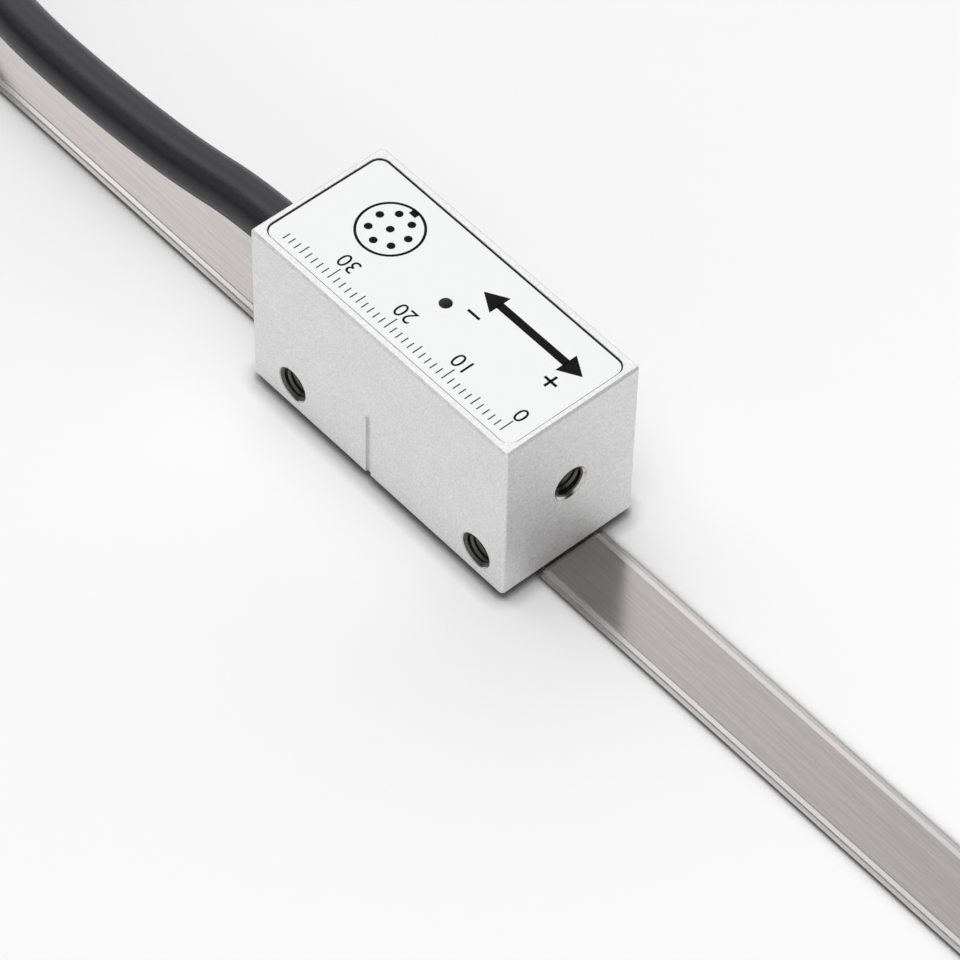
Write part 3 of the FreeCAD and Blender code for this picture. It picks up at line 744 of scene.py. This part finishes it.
class ENCODER_OT_hole_threads(bpy.types.Operator):
    """Cuts the threads of the three fixing holes and lines and rims their mouths; threads and lining are
    dark with painted shade
    """

    bl_idname = "encoder.hole_threads"
    bl_label = "Thread the fixing holes"

    def execute(self, context):
        sizes = context.scene.encoder_sizes
        low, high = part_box("housing")
        mounts = {mount["name"]: mount for mount in frame["record"]["mounts"]}
        middle = Vector(mounts["side_holes"]["pos_m"])
        half_spacing = mounts["side_holes"]["dims"]["spacing_x_mm"] / 1000.0 / 2.0
        end = Vector((high.x, 0.0, mounts["end_hole"]["pos_m"][2]))
        through = high.y - low.y
        across = Y_AXIS * through
        blind = mounts["end_hole"]["dims"]["length_mm"] / 1000.0 + sizes.mouth_depth
        rear = middle - X_AXIS * half_spacing
        front = middle + X_AXIS * half_spacing
        holes = (
            ("rear_hole_thread", sizes.side_lip, through, ((rear, Y_AXIS), (rear + across, -Y_AXIS))),
            ("front_hole_thread", sizes.side_lip, through, ((front, Y_AXIS), (front + across, -Y_AXIS))),
            ("end_hole_thread", sizes.end_lip, blind, ((end, -X_AXIS),)),
        )
        root = sizes.hole_radius
        wide = root + sizes.mouth_depth
        wall = sizes.mouth_wall
        crest = root - sizes.hole_depth
        lead_in = sizes.mouth_depth + sizes.hole_pitch / 2.0
        plain_end = sizes.mouth_depth + sizes.hole_pitch * LINING_REACH
        rims = bmesh.new()
        for name, lip, run, mouths in holes:
            # Lining in the thread's dark colour: painted shade over the lower chamfer and the start of
            # the bore
            lining = (
                (lip, wide - lip - wall),
                (sizes.mouth_depth, root - wall),
                (plain_end, root - wall),
                (plain_end, root + wall),
                (sizes.mouth_depth, root + wall),
                (lip, wide - lip + wall),
            )
            rim = (
                (0.0, wide - wall),
                (lip, wide - lip - wall),
                (lip, wide - lip + wall),
                (0.0, wide + wall),
            )
            shape = bmesh.new()
            mouth, axis = mouths[0]
            start = mouth + axis * lead_in
            thread(shape, start, axis, run - 2.0 * lead_in, root, crest, sizes.hole_pitch)
            for mouth, inward in mouths:
                ring(shape, mouth, inward, lining)
                ring(rims, mouth, inward, rim)
            solid(name, shape, "read_head", "blasted_aluminium", "oiled_thread")
        solid("hole_mouths", rims, "read_head", "blasted_aluminium", "cut_aluminium")
        return {"FINISHED"}


class ENCODER_OT_coupling_thread(bpy.types.Operator):
    """Winds the outer thread on the sleeve of the coupling screw"""

    bl_idname = "encoder.coupling_thread"
    bl_label = "Thread the coupling"

    def execute(self, context):
        sizes = context.scene.encoder_sizes
        low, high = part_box("coupling_screw")
        middle = (low + high) / 2.0
        start = Vector((low.x + sizes.coupling_pitch * FIRST_TURN, middle.y, middle.z))
        shape = bmesh.new()
        thread(
            shape,
            start,
            X_AXIS,
            SLEEVE_LENGTH - sizes.coupling_pitch * PLAIN_TURNS,
            SLEEVE_RADIUS * ROOT_SINK,
            SLEEVE_RADIUS + sizes.coupling_ridge,
            sizes.coupling_pitch,
        )
        solid("coupling_thread", shape, "coupling", "nickel_plate")
        return {"FINISHED"}


# Ruler on the plate, with places from the middle of the plate
RULER_ZERO = 0.019
RULER_EDGE = -0.0081
RULER_NUMERALS = -0.00475
RULER_TICKS = 39
MILLIMETRE = 0.001
TICK_WIDTH = 0.00016
TICK = 0.0011
TICK_AT_FIVES = 0.0015
TICK_AT_TENS = 0.0020
# Plan of the contacts
PLAN_PLACE = (-0.0120, 0.0023)
PLAN_RADIUS = 0.0043
PLAN_LINE = 0.00034
PLAN_SIDES = 48
KEY_PLACE = 0.0037
KEY_SIZE = (0.0011, 0.0008)
CONTACT_RADIUS = 0.00052
CONTACT_CIRCLE = 0.0026
CONTACTS_ROUND = 7
CONTACT_SIDES = 20
# Double arrow, with its heads and signs at equal distances from its middle
ARROW_PLACE = (0.0108, 0.0042)
SHAFT_SIZE = (0.0116, 0.0011)
HEAD_PLACE = 0.0066
HEAD_RADIUS = 0.0019
HEAD_SIDES = 3
SIGN_PLACE = -0.0032
SIGN_LENGTH = 0.0020
SIGN_WIDTH = 0.00036
# Corners of the plate, and the size of a font over the height of its numerals
PLATE_CORNER = 0.00157
FONT_SIZE = 1.4


def stroke(shape, x, y, long, wide):
    """A printed bar centred on a point, still without thickness."""
    sheet(shape, Matrix.Translation((x, y, 0.0)) @ Matrix.Diagonal((long, wide, 1.0, 1.0)))


def dot(shape, x, y, radius, sides, turn=-QUARTER_TURN):
    """The face of a printed disc, or of a triangle that points along X where it has three sides."""
    place = Matrix.Translation((x, y, 0.0)) @ Matrix.Rotation(turn, 4, "Z")
    made = bmesh.ops.create_circle(shape, cap_ends=True, radius=radius, segments=sides, matrix=place)
    return made["verts"][0].link_faces[:]


def numeral(shape, text, x, y, height):
    """A printed number, upright for a reader on the far side."""
    letters = bpy.data.curves.new("numeral", "FONT")
    letters.body = text
    letters.size = height * FONT_SIZE
    letters.align_x = "CENTER"
    letters.align_y = "CENTER"
    letters.resolution_u = 4
    holder = bpy.data.objects.new("numeral", letters)
    mesh = bpy.data.meshes.new_from_object(holder)
    mesh.transform(Matrix.Translation((x, y, 0.0)) @ Matrix.Rotation(math.pi, 4, "Z"))
    shape.from_mesh(mesh)
    bpy.data.objects.remove(holder)
    bpy.data.curves.remove(letters)
    bpy.data.meshes.remove(mesh)


def printed(name, shape, sizes):
    """A flat figure raised from the plate to the thickness of the print."""
    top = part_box("nameplate")[1].z
    raised = bmesh.ops.extrude_face_region(shape, geom=shape.faces[:])
    bmesh.ops.translate(shape, vec=Z_AXIS * 2.0 * sizes.print_height, verts=vertices(raised["geom"]))
    bmesh.ops.translate(shape, vec=Z_AXIS * (top - sizes.print_height), verts=shape.verts)
    solid(name, shape, "read_head", "nameplate", "ink")


def draw_border(shape, sizes):
    """A printed frame along the plate's edge; its extra width on the far and rear sides is painted shade
    of the recess wall.
    """
    low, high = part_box("nameplate")
    size = high - low
    corners = sheet(shape, Matrix.Diagonal((size.x, size.y, 1.0, 1.0)))
    rounded(shape, corners, PLATE_CORNER, segments=10)
    mean = (sizes.border_wide + sizes.border_thin) / 2.0
    offset = (sizes.border_wide - sizes.border_thin) / 2.0
    bmesh.ops.inset_region(
        shape, faces=shape.faces[:], thickness=mean, use_boundary=True, use_even_offset=True
    )
    inner = max(shape.faces, key=lambda face: len(face.verts))
    # Shifting the inner edge widens the far and rear border with painted shade
    bmesh.ops.translate(shape, vec=(offset, -offset, 0.0), verts=inner.verts[:])
    bmesh.ops.delete(shape, geom=[inner], context="FACES_ONLY")


def draw_ruler(shape, sizes):
    """Ticks along the near edge, a millimetre apart, with a number at each tenth."""
    for index in range(RULER_TICKS):
        x = RULER_ZERO - MILLIMETRE * index
        tall = TICK
        if index % 5 == 0:
            tall = TICK_AT_FIVES
        if index % 10 == 0:
            tall = TICK_AT_TENS
            numeral(shape, str(index), x, RULER_NUMERALS, sizes.numeral_height)
        stroke(shape, x, RULER_EDGE + tall / 2.0, TICK_WIDTH, tall)


def draw_contacts(shape, x, y):
    """The connector's face: a ring with a key, one contact in the middle and seven round it."""
    disc = dot(shape, x, y, PLAN_RADIUS, PLAN_SIDES)
    bmesh.ops.inset_region(
        shape, faces=disc, thickness=PLAN_LINE, use_boundary=True, use_even_offset=True
    )
    bmesh.ops.delete(shape, geom=disc, context="FACES_ONLY")
    stroke(shape, x, y + KEY_PLACE, *KEY_SIZE)
    dot(shape, x, y, CONTACT_RADIUS, CONTACT_SIDES)
    for index in range(CONTACTS_ROUND):
        angle = math.pi * 2.0 * (index + 0.5) / CONTACTS_ROUND + QUARTER_TURN
        out = x + CONTACT_CIRCLE * math.cos(angle)
        up = y + CONTACT_CIRCLE * math.sin(angle)
        dot(shape, out, up, CONTACT_RADIUS, CONTACT_SIDES)


def draw_direction(shape, x, y):
    """A double arrow along the tape, with a plus and a minus for the counting direction."""
    stroke(shape, x, y, *SHAFT_SIZE)
    dot(shape, x + HEAD_PLACE, y, HEAD_RADIUS, HEAD_SIDES)
    dot(shape, x - HEAD_PLACE, y, HEAD_RADIUS, HEAD_SIDES, turn=QUARTER_TURN)
    stroke(shape, x + HEAD_PLACE, y + SIGN_PLACE, SIGN_LENGTH, SIGN_WIDTH)
    stroke(shape, x + HEAD_PLACE, y + SIGN_PLACE, SIGN_WIDTH, SIGN_LENGTH)
    stroke(shape, x - HEAD_PLACE, y + SIGN_PLACE, SIGN_LENGTH, SIGN_WIDTH)


class ENCODER_OT_plate_print(bpy.types.Operator):
    """Prints the border, the ruler, the contact plan and the direction arrow"""

    bl_idname = "encoder.plate_print"
    bl_label = "Print the plate"

    def execute(self, context):
        sizes = context.scene.encoder_sizes
        border = bmesh.new()
        draw_border(border, sizes)
        printed("plate_border", border, sizes)
        marks = bmesh.new()
        draw_ruler(marks, sizes)
        draw_contacts(marks, *PLAN_PLACE)
        draw_direction(marks, *ARROW_PLACE)
        printed("plate_marks", marks, sizes)
        return {"FINISHED"}


# Dome of the status light: distance from its middle and height over the plate
LENS_PROFILE = (
    (0.0, 0.00007),
    (0.00030, 0.000062),
    (0.00056, 0.00004),
    (0.00072, 0.0),
    (0.00072, -0.0002),
    (0.0, -0.0002),
)
LENS_STEPS = 40


class ENCODER_OT_status_lens(bpy.types.Operator):
    """Sets a low dome on the status light"""

    bl_idname = "encoder.status_lens"
    bl_label = "Cap the status light"

    def execute(self, context):
        low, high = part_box("light_pipe")
        middle = Vector(((low.x + high.x) / 2.0, (low.y + high.y) / 2.0, high.z))
        shape = bmesh.new()
        points = [shape.verts.new(middle + X_AXIS * out + Z_AXIS * up) for out, up in LENS_PROFILE]
        edges = [shape.edges.new(pair) for pair in zip(points, points[1:])]
        bmesh.ops.spin(
            shape,
            geom=points + edges,
            cent=middle,
            axis=Z_AXIS,
            angle=2.0 * math.pi,
            steps=LENS_STEPS,
            use_merge=True,
        )
        solid("status_lens", shape, "read_head", "light_pipe")
        return {"FINISHED"}


# Studio

# Zones of the room, from where they begin to where they are full: up is Z, across Y and along X
CEILING_UP = (0.5, 0.75)
SKIRTING_UP = (0.5, 0.25)
SKIRTING_ACROSS = (0.2, -0.3)
SKIRTING_ALONG = (0.0, -0.3)
PANEL_UP = (0.3, 0.6)
PANEL_ACROSS = (-0.5, 0.1)
PANEL_ALONG = (0.1, -0.25)
PANEL_RISE = (-0.30, -0.56)
# Round patches of the room: degrees from the middle to the start and the end of their fade
CURTAIN_FADE = (30.0, 44.0)
STRIP_FADE = (6.0, 18.0)
# Shade on the bench: a wide one, and a close and deep one within a part of its reach
WIDE_SHADE = 1.5
CLOSE_SHADE = 6.5
CLOSE_REACH = 0.5
SHADE_SAMPLES = 6
FLOOR_REACH = 4.0


def smooth_range(tree, value, source, target=(0.0, 1.0)):
    """A value carried smoothly from one range to another."""
    node = tree.nodes.new("ShaderNodeMapRange")
    node.interpolation_type = "SMOOTHSTEP"
    set_range(node, source, target)
    tree.links.new(value, node.inputs["Value"])
    return node.outputs["Result"]


def spot(tree, way, direction, fade):
    """A soft round patch of the room, 1 within the first angle of its fade and 0 past the second."""
    facing = tree.nodes.new("ShaderNodeVectorMath")
    facing.operation = "DOT_PRODUCT"
    facing.inputs[1].default_value = Vector(direction).normalized()
    tree.links.new(way, facing.inputs[0])
    inner, outer = (math.cos(math.radians(angle)) for angle in fade)
    return smooth_range(tree, facing.outputs["Value"], (outer, inner))


def room_light(tree, stage):
    """The light of the room in each direction."""
    way = tree.nodes.new("ShaderNodeTexCoord").outputs["Generated"]
    parts = tree.nodes.new("ShaderNodeSeparateXYZ")
    tree.links.new(way, parts.inputs["Vector"])
    along, across, up = parts.outputs
    skirting = product(
        tree,
        smooth_range(tree, up, SKIRTING_UP),
        smooth_range(tree, across, SKIRTING_ACROSS),
        smooth_range(tree, along, SKIRTING_ALONG),
        1.0 - stage.skirting,
    )
    curtain = product(tree, spot(tree, way, stage.curtain_side, CURTAIN_FADE), stage.dimming)
    room = product(
        tree,
        smooth_range(tree, up, CEILING_UP, (stage.walls, stage.ceiling)),
        arithmetic(tree, "SUBTRACT", 1.0, skirting),
        arithmetic(tree, "SUBTRACT", 1.0, curtain),
    )
    panel = product(
        tree,
        smooth_range(tree, along, PANEL_RISE, (stage.panel_front, 1.0)),
        smooth_range(tree, across, PANEL_ACROSS),
        smooth_range(tree, up, PANEL_UP),
        smooth_range(tree, along, PANEL_ALONG),
        stage.panel,
    )
    strip = product(tree, spot(tree, way, stage.strip_side, STRIP_FADE), stage.strip)
    return arithmetic(tree, "ADD", arithmetic(tree, "ADD", room, panel), strip)


def make_world(stage):
    """The room for light and reflections, and a plain backdrop for the camera."""
    world = bpy.data.worlds.new("studio")
    world.use_nodes = True
    tree = world.node_tree
    room = tree.nodes["Background"]
    room.inputs["Color"].default_value = (1.0, 1.0, 1.0, 1.0)
    tree.links.new(room_light(tree, stage), room.inputs["Strength"])
    backdrop = tree.nodes.new("ShaderNodeBackground")
    backdrop.inputs["Color"].default_value = shaded(stage.floor, 1.0)
    seen = tree.nodes.new("ShaderNodeLightPath")
    choice = tree.nodes.new("ShaderNodeMixShader")
    tree.links.new(seen.outputs["Is Camera Ray"], choice.inputs["Fac"])
    tree.links.new(room.outputs["Background"], choice.inputs[1])
    tree.links.new(backdrop.outputs["Background"], choice.inputs[2])
    tree.links.new(choice.outputs["Shader"], tree.nodes["World Output"].inputs["Surface"])
    return world


def contact_shade(tree, reach, power):
    """Shade within reach of what stands close over the bench, deeper with a higher power."""
    corner = tree.nodes.new("ShaderNodeAmbientOcclusion")
    corner.inputs["Distance"].default_value = reach
    corner.samples = SHADE_SAMPLES
    return arithmetic(tree, "POWER", corner.outputs["AO"], power)


def make_floor(stage):
    """A wide pale bench, with contact shade painted into its colour."""
    shape = bmesh.new()
    bmesh.ops.create_grid(shape, x_segments=1, y_segments=1, size=FLOOR_REACH)
    mesh = bpy.data.meshes.new("floor")
    shape.to_mesh(mesh)
    shape.free()
    material = bpy.data.materials.new("floor")
    material.use_nodes = True
    tree = material.node_tree
    shader = tree.nodes["Principled BSDF"]
    shader.inputs["Roughness"].default_value = 0.9
    shader.inputs["Specular IOR Level"].default_value = 0.0
    # Painted shade: ambient occlusion darkens the bench's colour near what stands on it
    wide = contact_shade(tree, stage.contact, WIDE_SHADE)
    close = contact_shade(tree, stage.contact * CLOSE_REACH, CLOSE_SHADE)
    # The colours go in by number, because other sockets of this node have the same names
    tone = tree.nodes.new("ShaderNodeMix")
    tone.data_type = "RGBA"
    tone.inputs[6].default_value = shaded(stage.floor, stage.contact_depth)
    tone.inputs[7].default_value = shaded(stage.floor, 1.0)
    tree.links.new(product(tree, wide, close), tone.inputs["Factor"])
    tree.links.new(tone.outputs[2], shader.inputs["Base Color"])
    mesh.materials.append(material)
    floor = bpy.data.objects.new("floor", mesh)
    bpy.context.scene.collection.objects.link(floor)


def make_lamp(stage):
    """A large soft lamp over the encoder."""
    light = bpy.data.lights.new("soft_lamp", "AREA")
    light.energy = stage.lamp_power
    light.size = stage.lamp_size
    lamp = bpy.data.objects.new("soft_lamp", light)
    place = Vector(stage.lamp_place)
    lamp.matrix_world = Matrix.LocRotScale(place, (-place).to_track_quat("-Z", "Y"), None)
    bpy.context.scene.collection.objects.link(lamp)


def make_camera(stage):
    """The camera where the photograph was taken from."""
    view = bpy.data.cameras.new("camera")
    view.lens = stage.camera_lens
    view.sensor_width = 36.0
    view.clip_start = 0.01
    place = Vector(stage.camera_place)
    aim = Vector(stage.camera_target) - place
    turn = aim.to_track_quat("-Z", "Y") @ Quaternion(Z_AXIS, stage.camera_roll)
    camera = bpy.data.objects.new("camera", view)
    camera.matrix_world = Matrix.LocRotScale(place, turn, None)
    bpy.context.scene.collection.objects.link(camera)
    return camera


class ENCODER_OT_stage(bpy.types.Operator):
    """Sets up the bench, the light and the camera"""

    bl_idname = "encoder.stage"
    bl_label = "Set up the studio"

    def execute(self, context):
        stage = context.scene.encoder_stage
        context.scene.world = make_world(stage)
        make_floor(stage)
        make_lamp(stage)
        context.scene.camera = make_camera(stage)
        context.scene.view_settings.view_transform = "Standard"
        return {"FINISHED"}


class ENCODER_PT_sidebar(bpy.types.Panel):
    """Lists the steps and the values they use"""

    bl_idname = "ENCODER_PT_sidebar"
    bl_label = "Linear encoder"
    bl_space_type = "VIEW_3D"
    bl_region_type = "UI"
    bl_category = "Encoder"

    def draw(self, context):
        for step in STEPS:
            self.layout.operator(step.bl_idname)
        scene = context.scene
        for group in (scene.encoder_sizes, scene.encoder_colours, scene.encoder_stage):
            box = self.layout.box()
            for name in group.__annotations__:
                box.prop(group, name)


STEPS = (
    ENCODER_OT_finishes,
    ENCODER_OT_straps,
    ENCODER_OT_coupling_thread,
    ENCODER_OT_cable,
    ENCODER_OT_hole_threads,
    ENCODER_OT_plate_print,
    ENCODER_OT_status_lens,
    ENCODER_OT_stage,
)
CLASSES = (EncoderSizes, EncoderColours, EncoderStage, *STEPS, ENCODER_PT_sidebar)


def register():
    """Makes the classes and their values known to Blender."""
    for entry in CLASSES:
        bpy.utils.register_class(entry)
    bpy.types.Scene.encoder_sizes = PointerProperty(type=EncoderSizes)
    bpy.types.Scene.encoder_colours = PointerProperty(type=EncoderColours)
    bpy.types.Scene.encoder_stage = PointerProperty(type=EncoderStage)


def unregister():
    """Takes the classes and their values out again."""
    del bpy.types.Scene.encoder_stage
    del bpy.types.Scene.encoder_colours
    del bpy.types.Scene.encoder_sizes
    for entry in reversed(CLASSES):
        bpy.utils.unregister_class(entry)


def main():
    """Runs the steps in order."""
    register()
    bpy.ops.encoder.finishes()
    bpy.ops.encoder.straps()
    bpy.ops.encoder.coupling_thread()
    bpy.ops.encoder.cable()
    bpy.ops.encoder.hole_threads()
    bpy.ops.encoder.plate_print()
    bpy.ops.encoder.status_lens()
    bpy.ops.encoder.stage()


if __name__ == "__main__":
    main()
